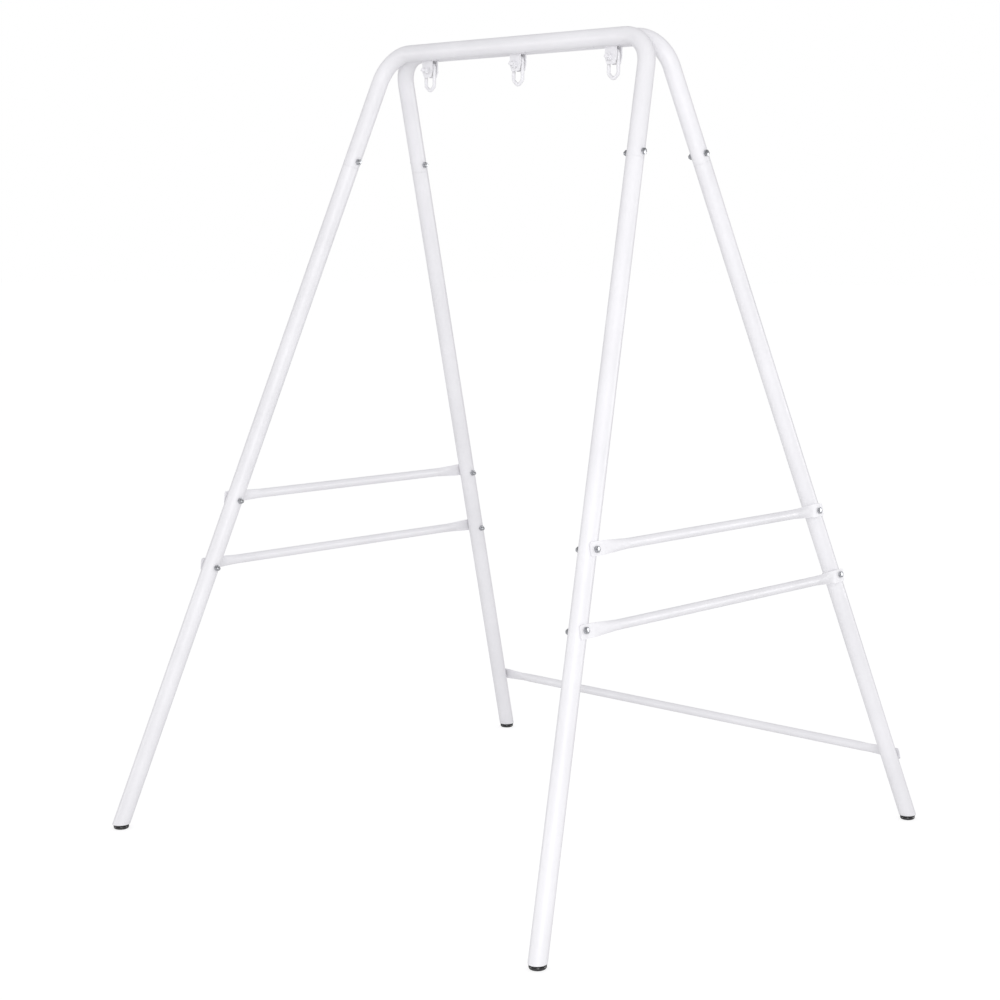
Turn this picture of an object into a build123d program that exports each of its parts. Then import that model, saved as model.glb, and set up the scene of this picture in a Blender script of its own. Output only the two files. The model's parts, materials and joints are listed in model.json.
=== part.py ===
from build123d import *
import math
import os

# An A-frame swing stand of white steel tube. Two bent top tubes lie side by side and
# make the beam. Four straight legs plug into their ends, two bars tie the legs together
# on each side, one brace ties the rear legs, and three links hang under the beam.
#
# X runs along the beam, the front is -Y, Z is up, and the origin is on the floor, under
# the middle of the beam. "side" is -1 on the left and +1 on the right, and "end" is -1
# at the front and +1 at the rear.

# Overall sizes
BEAM_Z = 1784.0             # axis of the two top tubes, above the floor
BEAM_HALF = 399.0           # middle of the beam to the corner where the tube turns down
FOOT_X = 662.5              # leg axis at the floor, from the middle
FOOT_Y = 643.7
SIDES = {"left": -1, "right": 1}
ENDS = {"front": -1, "rear": 1}

# Top tubes
TOP_R = 19.0
TOP_WALL = 1.5
TOP_BEND_R = 80.0
TUBE_GAP = 0.4              # between the two tubes where they run side by side
TOP_Y = TOP_R + TUBE_GAP / 2
TOP_END = 280.0             # corner to the tube's open end, along the leg

# Legs
LEG_R = 19.0
LEG_WALL = 1.5
SPIGOT_CLEARANCE = 0.1
SPIGOT_R = TOP_R - TOP_WALL - SPIGOT_CLEARANCE
SPIGOT_TOP = 190.0          # corner to the top of the leg's narrowed end
SWAGE = 0.25                # length of the cone between the narrowed end and the leg
BELOW_FLOOR = -60.0         # the leg tube is drawn to here, then cut level above the foot
CUT_BOX = 200.0             # width of the block that makes that cut

# Feet
FOOT_HEIGHT = 11.0
SHOULDER_R = 18.0           # the rim that the leg stands on
SHOULDER = 2.5
TREAD_R = 17.5              # the rounded part under it
TREAD_ROUND = 4.5
TREAD_TOP_ROUND = 3.5
PLUG_TOP = 42.0
PLUG_CLEARANCE = 0.1

# Side bars and rear brace: height of their bolts above the floor, and their tube
SIDE_BARS = {"upper": 754.0, "lower": 600.0}
BRACE_BOLT_Z = 155.0
BAR_R = 10.5
BAR_WALL = 1.2
FLAT_PAST_BOLT = 14.0       # flattened end beyond its bolt
FLAT_LENGTH = 25.0          # bolt to the start of the taper
FLAT_HEIGHT = 29.0
TAPER_LENGTH = 70.0
FLAT_CORNER_R = 4.0
FLAT_EDGE = 0.45            # edge radius of the flattened end, of its thickness
SLIT_OFFSET = 10.0          # start of the hollow, past the start of the taper
SLIT_WIDTH = 0.5            # half width of the hollow there, of the tube's wall
SLIT_HEIGHT = 0.3           # half height of the hollow there, of the flattened height
CONTACT = 0.05              # pieces that press on a round tube stand this far off it
DRILL_REACH = 60.0          # how far a drill goes, each way from its point

# M8 bolts: leg joints, side bars and hanging links
M8_R = 4.0
M8_HOLE_R = 4.2
M8_FLATS = 13.0
M8_HEAD = 5.3
M8_NUT = 8.0
M8_WASHER_R = 8.0
M8_WASHER = 1.6
FRAME_STUB = 3.5            # thread showing past the nuts of the frame
PIVOT_STUB = 8.0            # and past those of the hanging links
NUT_HEX_SHARE = 0.7         # hexagonal part of a lock nut, of its height
NUT_COLLAR_R = 0.44         # collar radius of a lock nut, of the distance across the flats
HEX_CHAMFER = 0.06          # of the distance across the flats
THREAD_CLEARANCE = 0.1
JOINT_EDGE = 16.0           # bolt to the end of the top tube
JOINT_BOLT = TOP_END - JOINT_EDGE

# M6 bolts: rear brace
M6_R = 3.0
M6_HOLE_R = 3.3
M6_FLATS = 10.0
M6_HEAD = 4.0
M6_WASHER_R = 6.0
M6_WASHER = 1.4

# Threaded inserts that hold the rear brace's bolts in the legs
INSERT_FLANGE_R = 6.5
INSERT_FLANGE = 1.5         # how far the flange stands off the leg
INSERT_R = 4.4
INSERT_HOLE_R = 4.5
INSERT_DEPTH = 11.0         # from the leg's surface inwards

# Hanging links
HANGERS = {"left": -282.0, "middle": 0.0, "right": 282.0}
PIVOT_Z = 1744.0
BRACKET_SHEET = 3.0
BRACKET_GAP = 14.5          # between the two ears
BRACKET_HALF = BRACKET_GAP / 2 + BRACKET_SHEET
BRACKET_WIDTH = 32.0
BRACKET_BEND_R = 2.0
EAR_TAPER_Z = PIVOT_Z - 1.0  # the ears narrow below this height
EAR_BOTTOM = PIVOT_Z - 16.0
EAR_BOTTOM_WIDTH = 23.0
EAR_CORNER_R = 4.5
LINK_ROD_R = 4.0
LINK_HALF = 13.5            # middle of the link to the middle of each rod
LINK_BOTTOM = 1695.0
LINK_V_ANGLE = 39.0         # slope of the two rods that meet at the bottom
LINK_CROWN_R = 8.0          # upper corners, at the middle of the rod
LINK_SHOULDER_R = 9.0
LINK_POINT_R = 7.0
BUSH_FIT = 0.1              # radial clearance on the bolt, and inside the rod
BUSH_END_PLAY = 0.3         # between the bushing and each ear
BUSH_R = LINK_HALF - LINK_ROD_R - BUSH_FIT
BUSH_BORE_R = M8_R + BUSH_FIT
BUSH_LENGTH = BRACKET_GAP - 2 * BUSH_END_PLAY
BUSH_WAIST = 8.8            # length of the groove that holds the rod
BUSH_FLANGE_R = 12.0

# Welds
SEAM_WELD_X = 214.0
SEAM_WELD_LENGTH = 22.0
SEAM_WELD_R = 5.0
SEAM_WELD_DROP = 13.5
BRACKET_WELD_R = 2.6
BRACKET_WELD_LENGTH = 29.0
BRACKET_WELD_Y = 1.2        # middle of the bead outside the ear
BRACKET_WELD_DROP = 1.3     # middle of the bead below the top of the bracket
WELD_END = 0.45             # how far the ends of a bead are rounded, of its radius


def corner(side, end):
    """The point where a top tube's beam axis meets its leg axis."""
    return Vector(side * BEAM_HALF, end * TOP_Y, BEAM_Z)


def down_leg(side, end):
    """Unit vector down a leg."""
    return (Vector(side * FOOT_X, end * FOOT_Y, 0) - corner(side, end)).normalized()


def leg_point(side, end, distance):
    """The point on a leg axis that far from its corner."""
    return corner(side, end) + down_leg(side, end) * distance


def leg_at_height(side, end, height):
    """The point on a leg axis at a height above the floor."""
    return leg_point(side, end, (BEAM_Z - height) / -down_leg(side, end).Z)


def rod(start, stop, radius):
    """A round bar between two points."""
    axis = stop - start
    return Solid.make_cylinder(radius, axis.length, Plane(origin=start, z_dir=axis))


def pipe(start, stop, outer_r, inner_r):
    """A tube between two points."""
    return rod(start, stop, outer_r) - rod(start, stop, inner_r)


def drill(point, direction, radius, reach=DRILL_REACH):
    """The cylinder that a drill removes, both ways from a point."""
    return rod(point - direction * reach, point + direction * reach, radius)


def hexagon(plane, flats, height):
    """A hexagonal prism with the edges of its far end broken."""
    prism = extrude(plane * RegularPolygon(flats / 2, 6, major_radius=False), height)
    far_end = prism.edges().sort_by(Axis(plane.origin, plane.z_dir))[-6:]
    return chamfer(far_end, flats * HEX_CHAMFER)


def hex_bolt(point, direction, flats, head, radius, length):
    """A bolt whose head stands on the point, with its shank along the direction."""
    head_plane = Plane(origin=point, z_dir=-direction)
    return hexagon(head_plane, flats, head) + rod(point, point + direction * length, radius)


def lock_nut(point, direction, flats, height, radius):
    """A hexagonal nut with the round collar of its locking ring."""
    hex_height = height * NUT_HEX_SHARE
    plane = Plane(origin=point, z_dir=direction)
    body = extrude(plane * RegularPolygon(flats / 2, 6, major_radius=False), hex_height)
    collar = rod(point, point + direction * height, flats * NUT_COLLAR_R)
    return body + collar - drill(point, direction, radius + THREAD_CLEARANCE, 2 * height)


def washer(point, direction, outer_r, bore_r, thickness):
    """A flat washer standing on the point."""
    return pipe(point, point + direction * thickness, outer_r, bore_r)


def frame_bolt_set(axis_point, outward, outer_stand, inner_stand):
    """An M8 bolt through a leg: its head outside, its nut inside."""
    head_seat = axis_point + outward * outer_stand
    nut_seat = axis_point - outward * inner_stand
    length = outer_stand + inner_stand + M8_NUT + FRAME_STUB
    bolt = hex_bolt(head_seat, -outward, M8_FLATS, M8_HEAD, M8_R, length)
    return bolt, lock_nut(nut_seat, -outward, M8_FLATS, M8_NUT, M8_R)


# Directions in which the bolts leave the legs, each square to its leg
def joint_outward(side, end):
    """In the plane of the bent top tube."""
    axis = down_leg(side, end)
    along_beam = Vector(side, 0, 0)
    return (along_beam - axis * along_beam.dot(axis)).normalized()


def side_outward(side, end):
    """Away from the middle of the stand, square to the leg and to the side bars."""
    axis = down_leg(side, end)
    return Vector(-side * axis.Z, 0, side * axis.X).normalized()


def rear_outward(side):
    """To the rear, square to the leg and to the rear brace."""
    axis = down_leg(side, ENDS["rear"])
    return Vector(0, -axis.Z, axis.Y).normalized()


def top_tube(end):
    """One bent tube: the beam and the two short ends that take the legs."""
    points = [
        leg_point(-1, end, TOP_END),
        corner(-1, end),
        corner(1, end),
        leg_point(1, end, TOP_END),
    ]
    path = FilletPolyline(*points, radius=TOP_BEND_R)
    start = Plane(origin=points[0], z_dir=points[1] - points[0])
    tube = sweep(start * (Circle(TOP_R) - Circle(TOP_R - TOP_WALL)), path=path)
    for side in SIDES.values():
        bolt_at = leg_point(side, end, JOINT_BOLT)
        tube -= drill(bolt_at, joint_outward(side, end), M8_HOLE_R)
    return tube


def leg(side, end):
    """A straight leg with a narrowed top end, cut level above the foot."""
    top = leg_point(side, end, SPIGOT_TOP)
    neck = leg_point(side, end, TOP_END)
    shoulder = leg_point(side, end, TOP_END + SWAGE)
    below_floor = leg_at_height(side, end, BELOW_FLOOR)
    cone_plane = Plane(origin=neck, z_dir=down_leg(side, end))
    outer = rod(top, neck, SPIGOT_R) + rod(shoulder, below_floor, LEG_R)
    outer += Solid.make_cone(SPIGOT_R, LEG_R, SWAGE, cone_plane)
    wall = down_leg(side, end) * LEG_WALL
    inner = rod(top, neck + wall, SPIGOT_R - LEG_WALL)
    inner += rod(shoulder + wall, below_floor, LEG_R - LEG_WALL)
    inner += Solid.make_cone(SPIGOT_R - LEG_WALL, LEG_R - LEG_WALL, SWAGE,
                             cone_plane.offset(LEG_WALL))
    tube = outer - inner
    tube -= below_foot_line(side, end)
    tube -= drill(leg_point(side, end, JOINT_BOLT), joint_outward(side, end), M8_HOLE_R)
    for height in SIDE_BARS.values():
        tube -= drill(leg_at_height(side, end, height), side_outward(side, end), M8_HOLE_R)
    if end == ENDS["rear"]:
        insert_at = leg_at_height(side, end, BRACE_BOLT_Z)
        tube -= rod(insert_at, insert_at + rear_outward(side) * 2 * LEG_R, INSERT_HOLE_R)
    return tube


def below_foot_line(side, end):
    """The space under the level cut at a leg's lower end."""
    centre = leg_at_height(side, end, FOOT_HEIGHT)
    return Pos(centre.X, centre.Y, FOOT_HEIGHT - CUT_BOX / 2) * Box(CUT_BOX, CUT_BOX, CUT_BOX)


def foot_cap(side, end):
    """A rounded foot with a plug that fills the end of the leg."""
    centre = leg_at_height(side, end, FOOT_HEIGHT)
    tread_height = FOOT_HEIGHT - SHOULDER
    tread = Solid.make_cylinder(TREAD_R, tread_height)
    rims = tread.edges().filter_by(GeomType.CIRCLE).sort_by(Axis.Z)
    tread = fillet(rims[0], TREAD_ROUND)
    rims = tread.edges().filter_by(GeomType.CIRCLE).sort_by(Axis.Z)
    tread = fillet(rims[-1], TREAD_TOP_ROUND)
    shoulder = Pos(0, 0, tread_height) * Solid.make_cylinder(SHOULDER_R, SHOULDER)
    sole = Pos(centre.X, centre.Y, 0) * (tread + shoulder)
    plug_r = LEG_R - LEG_WALL - PLUG_CLEARANCE
    plug = rod(leg_at_height(side, end, 0), leg_at_height(side, end, PLUG_TOP), plug_r)
    plug -= below_foot_line(side, end)
    return sole + plug


def flattened_bar(start, stop, outward, hole_r):
    """A tube between two bolts, with each end pressed flat and drilled."""
    along = (stop - start).normalized()
    thickness = 2 * BAR_WALL
    taper_end = FLAT_LENGTH + TAPER_LENGTH
    bar = pipe(start + along * taper_end, stop - along * taper_end, BAR_R, BAR_R - BAR_WALL)
    for bolt_at, inward in ((start, along), (stop, -along)):
        flat_plane = Plane(origin=bolt_at + inward * FLAT_LENGTH, x_dir=outward, z_dir=inward)
        round_plane = Plane(origin=bolt_at + inward * taper_end, x_dir=outward, z_dir=inward)
        flat_end = flat_plane * RectangleRounded(thickness, FLAT_HEIGHT, thickness * FLAT_EDGE)
        taper = loft([flat_end.face(), (round_plane * Circle(BAR_R)).face()])
        slit = Ellipse(BAR_WALL * SLIT_WIDTH, FLAT_HEIGHT * SLIT_HEIGHT)
        slit = flat_plane.offset(SLIT_OFFSET) * slit
        hollow = loft([slit.face(), (round_plane * Circle(BAR_R - BAR_WALL)).face()])
        face = Plane(origin=bolt_at - outward * BAR_WALL, x_dir=inward, z_dir=outward)
        length = FLAT_PAST_BOLT + FLAT_LENGTH
        middle = (FLAT_LENGTH - FLAT_PAST_BOLT) / 2
        tab = extrude(face * Pos(middle, 0) * Rectangle(length, FLAT_HEIGHT), thickness)
        corners = tab.edges().filter_by(Axis((0, 0, 0), tuple(outward)))
        corners = corners.sort_by(lambda edge: (edge @ 0.5 - bolt_at).dot(inward))[:2]
        bar += fillet(corners, FLAT_CORNER_R) + (taper - hollow)
    for bolt_at in (start, stop):
        bar -= drill(bolt_at, outward, hole_r)
    return bar


def side_bar(side, height):
    """A bar from a front leg to a rear leg, on the outside of both."""
    outward = side_outward(side, ENDS["front"])
    stand = LEG_R + CONTACT + BAR_WALL
    start = leg_at_height(side, ENDS["front"], height) + outward * stand
    stop = leg_at_height(side, ENDS["rear"], height) + outward * stand
    return flattened_bar(start, stop, outward, M8_HOLE_R)


def rear_brace():
    """The bar low down behind the two rear legs."""
    outward = rear_outward(1)
    stand = LEG_R + INSERT_FLANGE + CONTACT + BAR_WALL
    start = leg_at_height(-1, 1, BRACE_BOLT_Z) + outward * stand
    stop = leg_at_height(1, 1, BRACE_BOLT_Z) + outward * stand
    return flattened_bar(start, stop, outward, M6_HOLE_R)


def brace_insert(side):
    """A flanged threaded insert in the rear of a leg."""
    centre = leg_at_height(side, ENDS["rear"], BRACE_BOLT_Z)
    outward = rear_outward(side)
    axis = down_leg(side, ENDS["rear"])
    seat = centre + outward * (LEG_R + INSERT_FLANGE)
    leg_space = rod(centre - axis * 2 * LEG_R, centre + axis * 2 * LEG_R, LEG_R + CONTACT)
    flange = rod(centre, seat, INSERT_FLANGE_R) - leg_space
    body = rod(centre + outward * (LEG_R - INSERT_DEPTH), seat, INSERT_R)
    return flange + body - drill(centre, outward, M6_R + THREAD_CLEARANCE)


def brace_bolt_set(side):
    """A short M6 bolt that holds the brace on its insert, and its washer."""
    outward = rear_outward(side)
    centre = leg_at_height(side, ENDS["rear"], BRACE_BOLT_Z)
    plate = LEG_R + INSERT_FLANGE + 2 * CONTACT + 2 * BAR_WALL
    ring_at = centre + outward * plate
    ring = washer(ring_at, outward, M6_WASHER_R, M6_HOLE_R, M6_WASHER)
    length = plate + M6_WASHER - LEG_R + INSERT_DEPTH
    head_at = ring_at + outward * M6_WASHER
    return hex_bolt(head_at, -outward, M6_FLATS, M6_HEAD, M6_R, length), ring


def bracket_top():
    """How high the bracket's rounded shoulders fit between the two top tubes."""
    reach = TOP_R + BRACKET_BEND_R + CONTACT
    shoulder_y = BRACKET_HALF - BRACKET_BEND_R
    return BEAM_Z + BRACKET_BEND_R - math.sqrt(reach ** 2 - (TOP_Y - shoulder_y) ** 2)


def hanger_bracket(x):
    """A folded channel whose two tapered ears hold the pivot bolt."""
    top = bracket_top()
    wide = BRACKET_WIDTH / 2
    narrow = EAR_BOTTOM_WIDTH / 2
    outline = [(-wide, top), (wide, top), (wide, EAR_TAPER_Z), (narrow, EAR_BOTTOM),
               (-narrow, EAR_BOTTOM), (-wide, EAR_TAPER_Z)]
    upright = Plane(origin=(x, 0, 0), x_dir=(1, 0, 0), z_dir=(0, -1, 0))
    block = extrude(upright * Polygon(*outline, align=None), BRACKET_HALF, both=True)
    bends = block.edges().filter_by(Axis.X).sort_by(Axis.Z)[-2:]
    block = fillet(bends, BRACKET_BEND_R)
    corners = block.edges().filter_by(Axis.Y).sort_by(Axis.Z)[:4]
    block = fillet(corners, EAR_CORNER_R)
    height = top - BRACKET_SHEET - EAR_BOTTOM
    slot = Box(BRACKET_WIDTH + 2 * CONTACT, BRACKET_GAP, height)
    block -= Pos(x, 0, EAR_BOTTOM + height / 2) * slot
    return block - drill(Vector(x, 0, PIVOT_Z), Vector(0, 1, 0), M8_HOLE_R)


def pivot_bolt(x):
    """An M8 bolt with its head at the rear."""
    seat = Vector(x, BRACKET_HALF + M8_WASHER, PIVOT_Z)
    length = 2 * BRACKET_HALF + 2 * M8_WASHER + M8_NUT + PIVOT_STUB
    return hex_bolt(seat, Vector(0, -1, 0), M8_FLATS, M8_HEAD, M8_R, length)


def pivot_nut(x):
    seat = Vector(x, -BRACKET_HALF - M8_WASHER, PIVOT_Z)
    return lock_nut(seat, Vector(0, -1, 0), M8_FLATS, M8_NUT, M8_R)


def pivot_washers(x):
    pair = []
    for end in ENDS.values():
        seat = Vector(x, end * BRACKET_HALF, PIVOT_Z)
        pair.append(washer(seat, Vector(0, end, 0), M8_WASHER_R, M8_HOLE_R, M8_WASHER))
    return pair


def pivot_bushing(x):
    """The nylon spool inside the top of the link, which turns on the bolt."""
    middle = Vector(x, 0, PIVOT_Z)
    spool = rod(middle, middle + Vector(0, BUSH_LENGTH / 2, 0), BUSH_R)
    spool += rod(middle, middle - Vector(0, BUSH_LENGTH / 2, 0), BUSH_R)
    for end in ENDS.values():
        inner = middle + Vector(0, end * BUSH_WAIST / 2, 0)
        outer = middle + Vector(0, end * BUSH_LENGTH / 2, 0)
        spool += rod(inner, outer, BUSH_FLANGE_R)
    return spool - drill(middle, Vector(0, 1, 0), BUSH_BORE_R)


def hanging_link(x):
    """A closed link of round rod, with a squared top and a V at the bottom."""
    slope = math.radians(LINK_V_ANGLE)
    point_rise = LINK_POINT_R * (1 / math.cos(slope) - 1)
    point_z = LINK_BOTTOM + LINK_ROD_R - point_rise
    shoulder_z = point_z + LINK_HALF * math.tan(slope)
    crown_z = PIVOT_Z + LINK_HALF
    left = (x - LINK_HALF, 0, PIVOT_Z)
    right = (x + LINK_HALF, 0, PIVOT_Z)
    lower = FilletPolyline(
        left, (left[0], 0, shoulder_z), (x, 0, point_z), (right[0], 0, shoulder_z), right,
        radius=[LINK_SHOULDER_R, LINK_POINT_R, LINK_SHOULDER_R])
    crown = FilletPolyline(
        right, (right[0], 0, crown_z), (left[0], 0, crown_z), left, radius=LINK_CROWN_R)
    section = Circle(LINK_ROD_R)
    lower_half = sweep(Plane(origin=left, z_dir=(0, 0, -1)) * section, path=lower)
    return lower_half + sweep(Plane(origin=right, z_dir=(0, 0, 1)) * section, path=crown)


def beam_cylinders():
    """The outer space of both top tubes along the beam."""
    tubes = []
    for end in ENDS.values():
        start = Vector(-BEAM_HALF, end * TOP_Y, BEAM_Z)
        tubes.append(rod(start, start + Vector(2 * BEAM_HALF, 0, 0), TOP_R))
    return tubes


def weld_bead(x, y, z, length, radius, neighbours):
    """A bead along X that fills the corner between its neighbours."""
    bead = rod(Vector(x - length / 2, y, z), Vector(x + length / 2, y, z), radius)
    bead = fillet(bead.edges().filter_by(GeomType.CIRCLE), radius * WELD_END)
    for neighbour in neighbours:
        bead -= neighbour
    return bead.solids().sort_by(SortBy.VOLUME)[-1]


def seam_welds():
    """Short welds in the grooves above and below the two top tubes."""
    beads = []
    for side in SIDES.values():
        for drop in (-SEAM_WELD_DROP, SEAM_WELD_DROP):
            bead = weld_bead(side * SEAM_WELD_X, 0, BEAM_Z + drop,
                             SEAM_WELD_LENGTH, SEAM_WELD_R, beam_cylinders())
            beads.append(bead)
    return beads


def bracket_welds():
    """A bead along each side of each bracket."""
    beads = []
    for x in HANGERS.values():
        neighbours = beam_cylinders() + [hanger_bracket(x)]
        for end in ENDS.values():
            y = end * (BRACKET_HALF + BRACKET_WELD_Y)
            bead = weld_bead(x, y, bracket_top() - BRACKET_WELD_DROP,
                             BRACKET_WELD_LENGTH, BRACKET_WELD_R, neighbours)
            beads.append(bead)
    return beads


nodes = {"top_tube_welds": seam_welds(), "bracket_welds": bracket_welds()}
for group in ("leg_joint", "side_bar"):
    nodes[f"{group}_bolts"] = []
    nodes[f"{group}_nuts"] = []


def add_bolt_set(group, axis_point, outward, outer_stand, inner_stand):
    bolt, nut = frame_bolt_set(axis_point, outward, outer_stand, inner_stand)
    nodes[f"{group}_bolts"].append(bolt)
    nodes[f"{group}_nuts"].append(nut)


for end_name, end in ENDS.items():
    nodes[f"{end_name}_top_tube"] = top_tube(end)
    for side_name, side in SIDES.items():
        nodes[f"{end_name}_{side_name}_leg"] = leg(side, end)
        nodes[f"{end_name}_{side_name}_foot"] = foot_cap(side, end)
        add_bolt_set("leg_joint", leg_point(side, end, JOINT_BOLT),
                     joint_outward(side, end), TOP_R + CONTACT, TOP_R + CONTACT)
        for height in SIDE_BARS.values():
            plate = LEG_R + 2 * CONTACT + 2 * BAR_WALL
            add_bolt_set("side_bar", leg_at_height(side, end, height),
                         side_outward(side, end), plate, LEG_R + CONTACT)

nodes["rear_brace"] = rear_brace()
nodes["rear_brace_inserts"] = [brace_insert(side) for side in SIDES.values()]
brace_sets = [brace_bolt_set(side) for side in SIDES.values()]
nodes["rear_brace_bolts"] = [bolt for bolt, ring in brace_sets]
nodes["rear_brace_washers"] = [ring for bolt, ring in brace_sets]
for side_name, side in SIDES.items():
    for level, height in SIDE_BARS.items():
        nodes[f"{side_name}_{level}_side_bar"] = side_bar(side, height)

nodes["hanger_pivot_nuts"] = [pivot_nut(x) for x in HANGERS.values()]
nodes["hanger_pivot_washers"] = []
for name, x in HANGERS.items():
    nodes["hanger_pivot_washers"].extend(pivot_washers(x))
    nodes[f"{name}_hanger_bracket"] = hanger_bracket(x)
    nodes[f"{name}_pivot_bolt"] = pivot_bolt(x)
    nodes[f"{name}_pivot_bushing"] = pivot_bushing(x)
    nodes[f"{name}_hanging_link"] = hanging_link(x)

os.makedirs("parts", exist_ok=True)
for name, shape in nodes.items():
    solids = shape if isinstance(shape, list) else [shape]
    solids = [solid for item in solids for solid in item.solids()]
    export_step(Compound(children=solids) if len(solids) > 1 else solids[0], f"parts/{name}.step")
print(len(nodes), "nodes written")
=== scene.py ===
import json
import math

import bmesh
import bpy
from mathutils import Matrix, Vector


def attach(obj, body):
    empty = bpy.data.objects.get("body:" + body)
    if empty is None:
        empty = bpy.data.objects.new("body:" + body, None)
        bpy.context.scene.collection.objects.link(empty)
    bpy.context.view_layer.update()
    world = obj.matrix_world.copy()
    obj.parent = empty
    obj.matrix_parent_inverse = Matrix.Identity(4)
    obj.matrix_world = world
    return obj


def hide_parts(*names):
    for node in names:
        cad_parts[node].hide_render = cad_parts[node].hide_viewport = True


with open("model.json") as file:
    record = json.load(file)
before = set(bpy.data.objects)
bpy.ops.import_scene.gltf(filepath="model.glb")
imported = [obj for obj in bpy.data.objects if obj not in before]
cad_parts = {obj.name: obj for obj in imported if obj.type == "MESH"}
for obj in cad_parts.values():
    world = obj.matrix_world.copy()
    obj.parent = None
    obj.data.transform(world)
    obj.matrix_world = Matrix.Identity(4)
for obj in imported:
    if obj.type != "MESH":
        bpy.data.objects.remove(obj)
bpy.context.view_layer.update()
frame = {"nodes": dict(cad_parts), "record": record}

MM = 0.001
UP = Vector((0, 0, 1))

# Camera
CAMERA_PLACE = Vector((3.051, -3.183, 1.351))
CAMERA_YAW = math.radians(40.606)      # to the left of +Y
CAMERA_PITCH = math.radians(-7.497)
CAMERA_ROLL = math.radians(0.332)
LENS = 69.72                           # millimetres, on the 36 mm sensor
SHIFT_X = -0.1254
SHIFT_Y = -0.0025

# Studio
FLOOR_R = 60.0
AMBIENT = 0.80                         # brightness of the surroundings that light the object
BACKGROUND = 1.0                       # of those that the camera sees
DARK_ROOM = 0.35                       # and of those that show in shiny pieces
FLOOR_BOUNCE = 0.88                    # what the floor gives back to the object
FLOOR_REFLECTED = 0.70                 # how light the floor looks in shiny pieces
FLOOR_GLOW = 0.80                      # light under the floor, which the camera sees as a white sweep
FLOOR_SHADE = 0.26                     # how much of the shadows the camera sees on it
# Soft boxes that only show as reflections in the bolts and on the tubes
SHINES = (("right_shine", (4.0, 4.6, 1.2), 90.0), ("left_shine", (-4.5, -4.2, 1.2), 50.0))

# Standard fasteners, in millimetres
FASTENERS = {
    "M6": {"radius": 3.0, "pitch": 1.0, "flats": 10.0, "head": 4.0, "nut": 6.0,
           "washer_r": 6.0, "washer": 1.4},
    "M8": {"radius": 4.0, "pitch": 1.25, "flats": 13.0, "head": 5.3, "nut": 8.0,
           "washer_r": 8.0, "washer": 1.6},
}
THREADED_LENGTH = 18.0
THREAD_DEPTH = 0.61                    # of the pitch
THREAD_RINGS = 6                       # rings drawn for each turn of the thread
WASHER_FACE = 0.46                     # radius of the face under a bolt's head, of its flats
FACE_GAP = 0.35                        # height of that face
HEX_SHARE = 0.7                        # hexagonal part of a nut, of its height
COLLAR = 0.44                          # radius of its collar, of its flats
LIP = 0.36                             # and of the lip that holds the nylon ring
FRAME_STUB = 3.5                       # thread showing past the nuts of the frame
PIVOT_STUB = 8.0                       # and past those of the hanging links
CROWN_FACE = 0.40                      # radius of a bolt head's flat crown, of its flats
NUT_FACE = 0.475                       # and of a nut's flat faces


# Camera and studio

def make_camera():
    """The view from the front right, a little above the middle of the stand."""
    right = Vector((math.cos(CAMERA_YAW), math.sin(CAMERA_YAW), 0))
    level = Vector((-math.sin(CAMERA_YAW), math.cos(CAMERA_YAW), 0))
    forward = level * math.cos(CAMERA_PITCH) + UP * math.sin(CAMERA_PITCH)
    up = right.cross(forward)
    rolled_right = right * math.cos(CAMERA_ROLL) + up * math.sin(CAMERA_ROLL)
    rolled_up = up * math.cos(CAMERA_ROLL) - right * math.sin(CAMERA_ROLL)
    data = bpy.data.cameras.new("camera")
    data.lens = LENS
    data.sensor_width = 36.0
    data.shift_x = SHIFT_X
    data.shift_y = SHIFT_Y
    camera = bpy.data.objects.new("camera", data)
    bpy.context.scene.collection.objects.link(camera)
    axes = Matrix((rolled_right, rolled_up, -forward)).transposed()
    camera.matrix_world = Matrix.Translation(CAMERA_PLACE) @ axes.to_4x4()
    bpy.context.scene.camera = camera


def mixed(tree, factor, first, second):
    """The first shader where the factor is 0, and the second where it is 1."""
    mix = tree.nodes.new("ShaderNodeMixShader")
    tree.links.new(factor, mix.inputs[0])
    tree.links.new(first.outputs[0], mix.inputs[1])
    tree.links.new(second.outputs[0], mix.inputs[2])
    return mix


def by_ray(tree, output, seen, reflected, lit):
    """One shader for the camera, one for reflections, and one for the light on the object."""
    ray = tree.nodes.new("ShaderNodeLightPath")
    others = mixed(tree, ray.outputs["Is Glossy Ray"], lit, reflected)
    every = mixed(tree, ray.outputs["Is Camera Ray"], others, seen)
    tree.links.new(every.outputs[0], output.inputs["Surface"])


def diffuse(tree, grey):
    """A matte grey shader."""
    shader = tree.nodes.new("ShaderNodeBsdfDiffuse")
    shader.inputs["Color"].default_value = (grey, grey, grey, 1)
    return shader


def floor_material():
    """A plain pale floor."""
    material = bpy.data.materials.new("stage_floor")
    material.use_nodes = True
    tree = material.node_tree
    tree.nodes.clear()
    output = tree.nodes.new("ShaderNodeOutputMaterial")
    glow = tree.nodes.new("ShaderNodeEmission")
    glow.inputs["Color"].default_value = (1, 1, 1, 1)
    glow.inputs["Strength"].default_value = FLOOR_GLOW
    seen = tree.nodes.new("ShaderNodeAddShader")
    tree.links.new(glow.outputs[0], seen.inputs[0])
    tree.links.new(diffuse(tree, FLOOR_SHADE).outputs[0], seen.inputs[1])
    by_ray(tree, output, seen, diffuse(tree, FLOOR_REFLECTED), diffuse(tree, FLOOR_BOUNCE))
    return material


def make_floor():
    """A disc that reaches past the horizon of the picture."""
    edit = bmesh.new()
    bmesh.ops.create_circle(edit, cap_ends=True, segments=128, radius=FLOOR_R)
    mesh = bpy.data.meshes.new("floor")
    edit.to_mesh(mesh)
    edit.free()
    mesh.materials.append(floor_material())
    floor = bpy.data.objects.new("floor", mesh)
    bpy.context.scene.collection.objects.link(floor)


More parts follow.
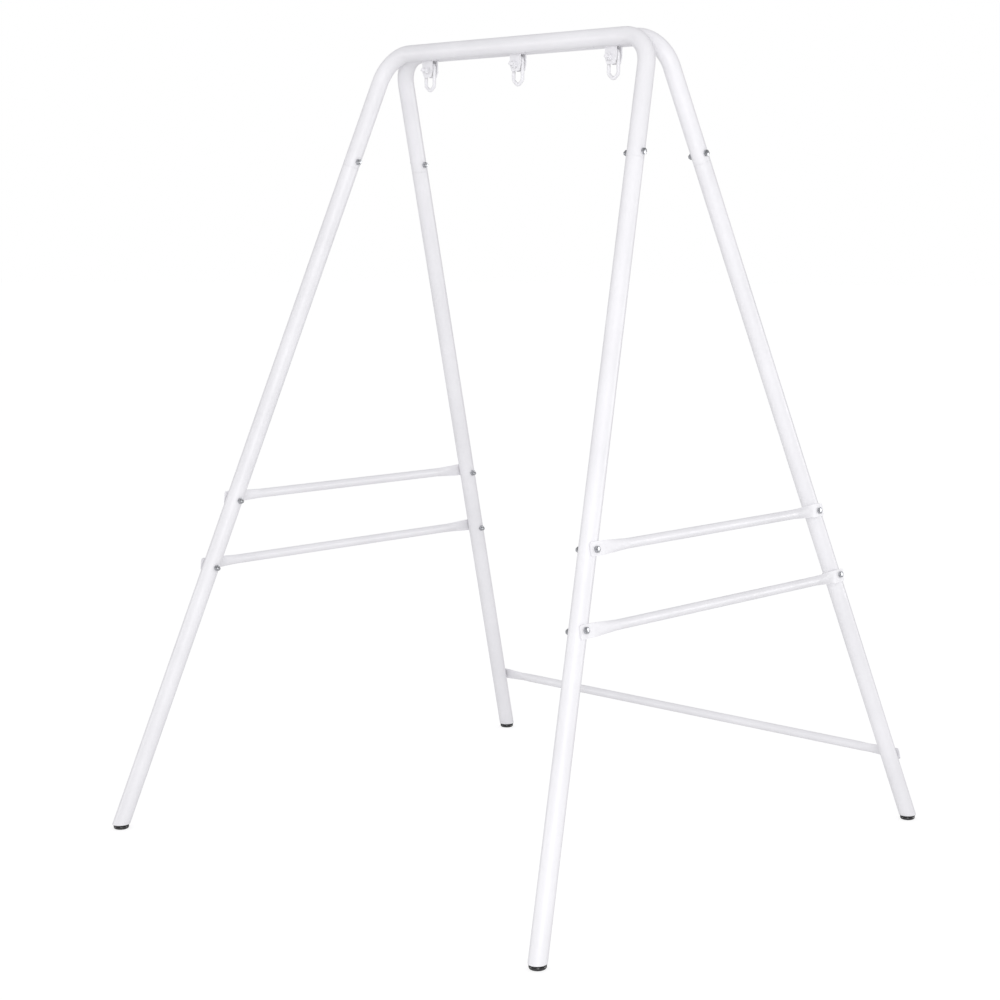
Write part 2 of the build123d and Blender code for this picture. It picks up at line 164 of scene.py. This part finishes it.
def background(tree, colour, strength):
    """A light that comes evenly from all around."""
    shader = tree.nodes.new("ShaderNodeBackground")
    shader.inputs["Color"].default_value = (*colour, 1)
    shader.inputs["Strength"].default_value = strength
    return shader


def make_surroundings():
    """White behind the object, an even light on it, and a darker room in its reflections."""
    world = bpy.data.worlds.new("studio")
    world.use_nodes = True
    bpy.context.scene.world = world
    tree = world.node_tree
    tree.nodes.clear()
    output = tree.nodes.new("ShaderNodeOutputWorld")
    cool = (0.985, 0.98, 1.0)
    by_ray(tree, output, background(tree, (1, 1, 1), BACKGROUND),
           background(tree, cool, DARK_ROOM), background(tree, cool, AMBIENT))


def soft_light(name, place, size, power):
    """A square soft box that faces the middle of the stand."""
    data = bpy.data.lights.new(name, "AREA")
    data.size = size
    data.energy = power
    light = bpy.data.objects.new(name, data)
    bpy.context.scene.collection.objects.link(light)
    aim = Vector((0, 0, 0.9)) - Vector(place)
    light.rotation_mode = "QUATERNION"
    light.rotation_quaternion = aim.to_track_quat("-Z", "Y")
    light.location = place
    return light


def make_studio():
    """The floor, the surroundings, the main soft box and the ones that only show as shine."""
    bpy.context.scene.view_settings.view_transform = "Standard"
    make_floor()
    make_surroundings()
    soft_light("key", (4.1, -3.9, 2.0), 3.0, 105.0)
    for name, place, power in SHINES:
        soft_light(name, place, 2.6, power).visible_diffuse = False


# Materials

class Finish:
    """A principled node material, and short ways to add to it."""

    def __init__(self, name):
        self.material = bpy.data.materials.new(name)
        self.material.use_nodes = True
        self.tree = self.material.node_tree
        self.tree.nodes.clear()
        output = self.tree.nodes.new("ShaderNodeOutputMaterial")
        self.shader = self.tree.nodes.new("ShaderNodeBsdfPrincipled")
        self.link(self.shader.outputs["BSDF"], output.inputs["Surface"])
        self.place = self.tree.nodes.new("ShaderNodeTexCoord").outputs["Object"]

    def link(self, source, target):
        self.tree.links.new(source, target)

    def noise(self, scale, detail=2.0, stretch=(1, 1, 1)):
        """Noise in the object's own space, with about scale features to the metre."""
        mapping = self.tree.nodes.new("ShaderNodeMapping")
        mapping.inputs["Scale"].default_value = stretch
        texture = self.tree.nodes.new("ShaderNodeTexNoise")
        texture.inputs["Scale"].default_value = scale
        texture.inputs["Detail"].default_value = detail
        self.link(self.place, mapping.inputs["Vector"])
        self.link(mapping.outputs["Vector"], texture.inputs["Vector"])
        return texture.outputs["Fac"]

    def between(self, factor, low, high, low_at=0.35, high_at=0.65):
        """A grey or a colour that goes from low to high with the factor."""
        ramp = self.tree.nodes.new("ShaderNodeValToRGB")
        ends = zip(ramp.color_ramp.elements, (low, high), (low_at, high_at))
        for end, value, position in ends:
            colour = value if isinstance(value, tuple) else (value, value, value)
            end.color = (*colour, 1.0)
            end.position = position
        self.link(factor, ramp.inputs["Fac"])
        return ramp.outputs["Color"]

    def colour(self, *ramp):
        self.link(self.between(*ramp), self.shader.inputs["Base Color"])

    def roughness(self, *ramp):
        self.link(self.between(*ramp), self.shader.inputs["Roughness"])

    def bump(self, *layers):
        """Layers of (height, depth in millimetres), laid one on another."""
        normal = None
        for height, depth in layers:
            bump = self.tree.nodes.new("ShaderNodeBump")
            bump.inputs["Distance"].default_value = depth * MM
            self.link(height, bump.inputs["Height"])
            if normal is not None:
                self.link(normal, bump.inputs["Normal"])
            normal = bump.outputs["Normal"]
        self.link(normal, self.shader.inputs["Normal"])


def powder_coat():
    """Cool white powder coat with fine orange peel and faint handling marks."""
    f = Finish("powder_coat")
    f.colour(f.noise(7.0, 4.0), (0.82, 0.815, 0.835), (0.86, 0.855, 0.875))
    f.roughness(f.noise(45.0, 4.0, stretch=(1, 1, 0.3)), 0.34, 0.46)
    f.bump((f.noise(650.0, 1.0), 0.04), (f.noise(70.0, 2.0), 0.06))
    return f.material


def coated_weld():
    """The same coat over the ripples and small spatter of a weld bead."""
    f = Finish("coated_weld")
    f.colour(f.noise(60.0, 4.0), (0.77, 0.765, 0.785), (0.85, 0.845, 0.865))
    f.roughness(f.noise(300.0, 3.0), 0.30, 0.48)
    f.bump((f.noise(120.0, 1.0, stretch=(6, 1, 1)), 0.5), (f.noise(900.0, 1.0), 0.05))
    return f.material


def zinc(name, dark, light, rough):
    """Zinc plate: a fine grain and small duller patches."""
    f = Finish(name)
    f.shader.inputs["Metallic"].default_value = 1.0
    f.colour(f.noise(350.0, 4.0), dark, light)
    f.roughness(f.noise(900.0, 4.0), rough, rough + 0.18)
    f.bump((f.noise(2600.0, 2.0), 0.012), (f.noise(400.0, 2.0), 0.02))
    return f.material


def rubber():
    """Black moulded rubber with a soft shine."""
    f = Finish("foot_rubber")
    f.colour(f.noise(130.0, 3.0), (0.007, 0.007, 0.008), (0.018, 0.018, 0.019))
    f.roughness(f.noise(220.0, 3.0), 0.08, 0.18)
    f.shader.inputs["IOR"].default_value = 1.8
    f.bump((f.noise(1500.0, 2.0), 0.02))
    return f.material


def nylon():
    """Natural nylon, slightly milky."""
    f = Finish("nylon")
    f.colour(f.noise(90.0, 3.0), (0.70, 0.69, 0.66), (0.79, 0.78, 0.75))
    f.roughness(f.noise(500.0, 2.0), 0.38, 0.55)
    f.bump((f.noise(1300.0, 2.0), 0.012))
    return f.material


# Mesh tools

def finished(name, edit, materials, body, replaced, sharp=35.0):
    """Makes a piece of the finished mesh: smooth faces, sharp edges, materials and its ride."""
    bmesh.ops.recalc_face_normals(edit, faces=edit.faces)
    for face in edit.faces:
        face.smooth = True
    for edge in edit.edges:
        edge.smooth = len(edge.link_faces) == 2 and edge.calc_face_angle() < math.radians(sharp)
    mesh = bpy.data.meshes.new(name)
    edit.to_mesh(mesh)
    edit.free()
    for material in materials:
        mesh.materials.append(material)
    piece = bpy.data.objects.new(name, mesh)
    bpy.context.scene.collection.objects.link(piece)
    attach(piece, body)
    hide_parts(*replaced)
    return piece


def turned(edit, place, profile, columns=48, material=0, ring=True):
    """Turns a profile about Z. A point is (radius, height) in millimetres, and either may be a
    function of the angle. A ring joins its last point to its first, and a solid is capped."""
    rows = []
    for radius, height in profile:
        row = []
        for column in range(columns):
            angle = 2 * math.pi * column / columns
            r = radius(angle) if callable(radius) else radius
            z = height(angle) if callable(height) else height
            point = Vector((r * math.cos(angle), r * math.sin(angle), z)) * MM
            row.append(edit.verts.new(place @ point))
        rows.append(row)
    pairs = list(zip(rows, rows[1:]))
    faces = []
    if ring:
        pairs.append((rows[-1], rows[0]))
    else:
        faces.append(edit.faces.new(rows[0]))
        faces.append(edit.faces.new(rows[-1]))
    for below, above in pairs:
        for column in range(columns):
            after = (column + 1) % columns
            faces.append(edit.faces.new((below[column], below[after], above[after], above[column])))
    for face in faces:
        face.material_index = material


def solids(node):
    """The separate solids of a CAD node, each as a list of its points."""
    edit = bmesh.new()
    edit.from_mesh(frame["nodes"][node].data)
    bmesh.ops.remove_doubles(edit, verts=edit.verts, dist=1e-6)
    found = []
    seen = set()
    for first in edit.verts:
        if first in seen:
            continue
        seen.add(first)
        queue = [first]
        points = []
        while queue:
            vertex = queue.pop()
            points.append(vertex.co.copy())
            for edge in vertex.link_edges:
                other = edge.other_vert(vertex)
                if other not in seen:
                    seen.add(other)
                    queue.append(other)
        found.append(points)
    edit.free()
    return found


def middle(points):
    """The average of some points."""
    return sum(points, Vector()) / len(points)


def bolt_place(points, head):
    """Roughly where a bolt of the CAD is: a matrix whose origin is near its head's seat and whose
    Z runs down its shank, and the shank's length in millimetres.

    Known fault: the axis comes out 2.7 to 12.3 degrees off and the seat 2.5 to 4.2 mm off. The
    first line runs from rim to rim, so only 6 or 8 of the 12 points at the head's end are within
    near_end of it. Repeating the search along the new axis three times would settle it."""
    start = middle(points)
    one_end = max(points, key=lambda p: (p - start).length)
    other_end = max(points, key=lambda p: (p - one_end).length)
    rough_axis = (other_end - one_end).normalized()
    reach = [p.dot(rough_axis) for p in points]
    near_end = 2 * MM
    ends = []
    for limit in (min(reach), max(reach)):
        ring = [p for p, along in zip(points, reach) if abs(along - limit) < near_end]
        centre = middle(ring)
        ends.append((max((p - centre).length for p in ring), centre))
    tip, crown = (centre for width, centre in sorted(ends, key=lambda end: end[0]))
    axis = (tip - crown).normalized()
    along = [p.dot(axis) for p in points]
    crown_at = crown + axis * (min(along) - crown.dot(axis))
    seat = crown_at + axis * head * MM
    turn = axis.to_track_quat("Z", "X").to_matrix().to_4x4()
    return Matrix.Translation(seat) @ turn, (max(along) - min(along)) / MM - head


# Fasteners

def hex_radius(flats):
    """The outline of a hexagon with its corners slightly rounded."""
    corner = flats / 2 / math.cos(math.radians(30)) * 0.985

    def radius(angle):
        from_flat = (angle + math.pi / 6) % (math.pi / 3) - math.pi / 6
        return min(flats / 2 / math.cos(from_flat), corner)

    return radius


def hex_profile(flats, low, high, bore, face, chamfer_low, chamfer_high):
    """Rings of a hexagon whose corners are turned off at 30 degrees, down to a flat face."""
    outline = hex_radius(flats)
    face_r = flats * face
    slope = math.tan(math.radians(30))

    def below(angle):
        return high - (outline(angle) - face_r) * slope

    def above(angle):
        return low + (outline(angle) - face_r) * slope

    profile = [(bore, low)]
    if chamfer_low:
        profile += [(face_r, low), (outline, above)]
    else:
        profile += [(outline, low)]
    if chamfer_high:
        profile += [(outline, below), (face_r, high)]
    else:
        profile += [(outline, high)]
    return profile + [(bore, high)]


def add_bolt(edit, place, size, length):
    """A hexagon head with a washer face, a plain shank and a rolled thread."""
    head = FASTENERS[size]
    flats, radius, pitch = head["flats"], head["radius"], head["pitch"]
    face_r = flats * WASHER_FACE
    turned(edit, place, [(0.1, -FACE_GAP), (face_r, -FACE_GAP), (face_r, 0), (0.1, 0)], ring=False)
    crown = hex_profile(flats, -head["head"], -FACE_GAP, 0.1, CROWN_FACE, True, False)
    turned(edit, place, crown, ring=False)
    depth = THREAD_DEPTH * pitch
    thread_start = max(length - THREADED_LENGTH, 1.0)
    rows = int((length - thread_start) / pitch * THREAD_RINGS)
    profile = [(radius * 0.97, 0.0), (radius * 0.97, thread_start - 0.6)]
    for row in range(rows):
        height = thread_start + (length - 0.7 - thread_start) * row / rows

        def crest(angle, height=height):
            phase = (height / pitch - angle / (2 * math.pi)) % 1
            return radius - depth * abs(2 * phase - 1) ** 0.8

        profile.append((crest, height))
    profile += [(radius - depth, length - 0.5), (radius - depth - 0.5, length)]
    turned(edit, place, profile, columns=24, ring=False)


def add_nut(edit, place, size, seat):
    """A lock nut: the hexagon, its turned collar, and the nylon ring that the collar holds."""
    nut = FASTENERS[size]
    flats, radius, height = nut["flats"], nut["radius"], nut["nut"]
    bore = radius + 0.05
    hex_top = seat + HEX_SHARE * height
    top = seat + height
    collar_r = flats * COLLAR
    lip_r = flats * LIP
    profile = hex_profile(flats, seat, hex_top, bore, NUT_FACE, True, True)[:-1]
    profile += [(collar_r, hex_top + 0.1), (collar_r, top - 0.7), (collar_r - 0.3, top - 0.15),
                (collar_r - 0.8, top), (lip_r, top - 0.05), (lip_r, hex_top), (bore, hex_top)]
    turned(edit, place, profile)
    ring_top = top - 0.35
    nylon_ring = [(radius - 0.2, hex_top + 0.1), (lip_r - 0.02, hex_top + 0.1),
                  (lip_r - 0.02, ring_top), (radius + 0.4, ring_top), (radius - 0.2, ring_top - 0.4)]
    turned(edit, place, nylon_ring, material=1)


def add_washer(edit, place, size, seat):
    """A stamped washer: one edge rolled over, the other slightly sharp."""
    ring = FASTENERS[size]
    outer, bore, top = ring["washer_r"], ring["radius"] + 0.3, seat + ring["washer"]
    profile = [(bore, seat + 0.1), (bore + 0.15, seat), (outer - 0.1, seat), (outer, seat + 0.1),
               (outer, top - 0.45), (outer - 0.15, top - 0.15), (outer - 0.5, top),
               (bore + 0.3, top), (bore, top - 0.3)]
    turned(edit, place, profile)


def fasten(size, metal, ring, stub, bolts, nuts=None, washers=None):
    """The bolts of some CAD nodes, with the nuts and washers that stand on them."""
    data = FASTENERS[size]
    places = []
    for node in bolts:
        own = [bolt_place(points, data["head"]) for points in solids(node)]
        edit = bmesh.new()
        for place, length in own:
            add_bolt(edit, place, size, length)
        finished(f"{node}_threaded", edit, [metal], "frame", [node])
        places.extend(own)
    if nuts:
        edit = bmesh.new()
        for place, length in places:
            add_nut(edit, place, size, length - stub - data["nut"])
        finished(f"{nuts}_nylon_ring", edit, [metal, ring], "frame", [nuts])
    if washers:
        edit = bmesh.new()
        for place, length in places:
            add_washer(edit, place, size, 0.0)
            if nuts:
                add_washer(edit, place, size, length - stub - data["nut"] - data["washer"])
        finished(f"{washers}_stamped", edit, [metal], "frame", [washers])


def paint(node, material):
    """Gives a CAD node its finished material."""
    for slot in frame["nodes"][node].material_slots:
        slot.material = material


make_camera()
make_studio()

COAT = powder_coat()
ZINC = zinc("zinc_plate", (0.40, 0.41, 0.43), (0.60, 0.61, 0.63), 0.22)
RUBBER = rubber()
NYLON = nylon()
FINISHES = {"white_paint": COAT, "zinc_steel": ZINC, "foot_rubber": RUBBER, "nylon": NYLON}
for subpart in frame["record"]["subparts"]:
    paint(subpart["node"], FINISHES[subpart["material_slot"]])

for node in ("top_tube_welds", "bracket_welds"):
    paint(node, coated_weld())

for group in ("leg_joint", "side_bar"):
    fasten("M8", ZINC, NYLON, FRAME_STUB, [f"{group}_bolts"], f"{group}_nuts")
fasten("M6", ZINC, NYLON, 0.0, ["rear_brace_bolts"], washers="rear_brace_washers")
fasten("M8", COAT, COAT, PIVOT_STUB,
       [f"{side}_pivot_bolt" for side in ("left", "middle", "right")],
       "hanger_pivot_nuts", "hanger_pivot_washers")
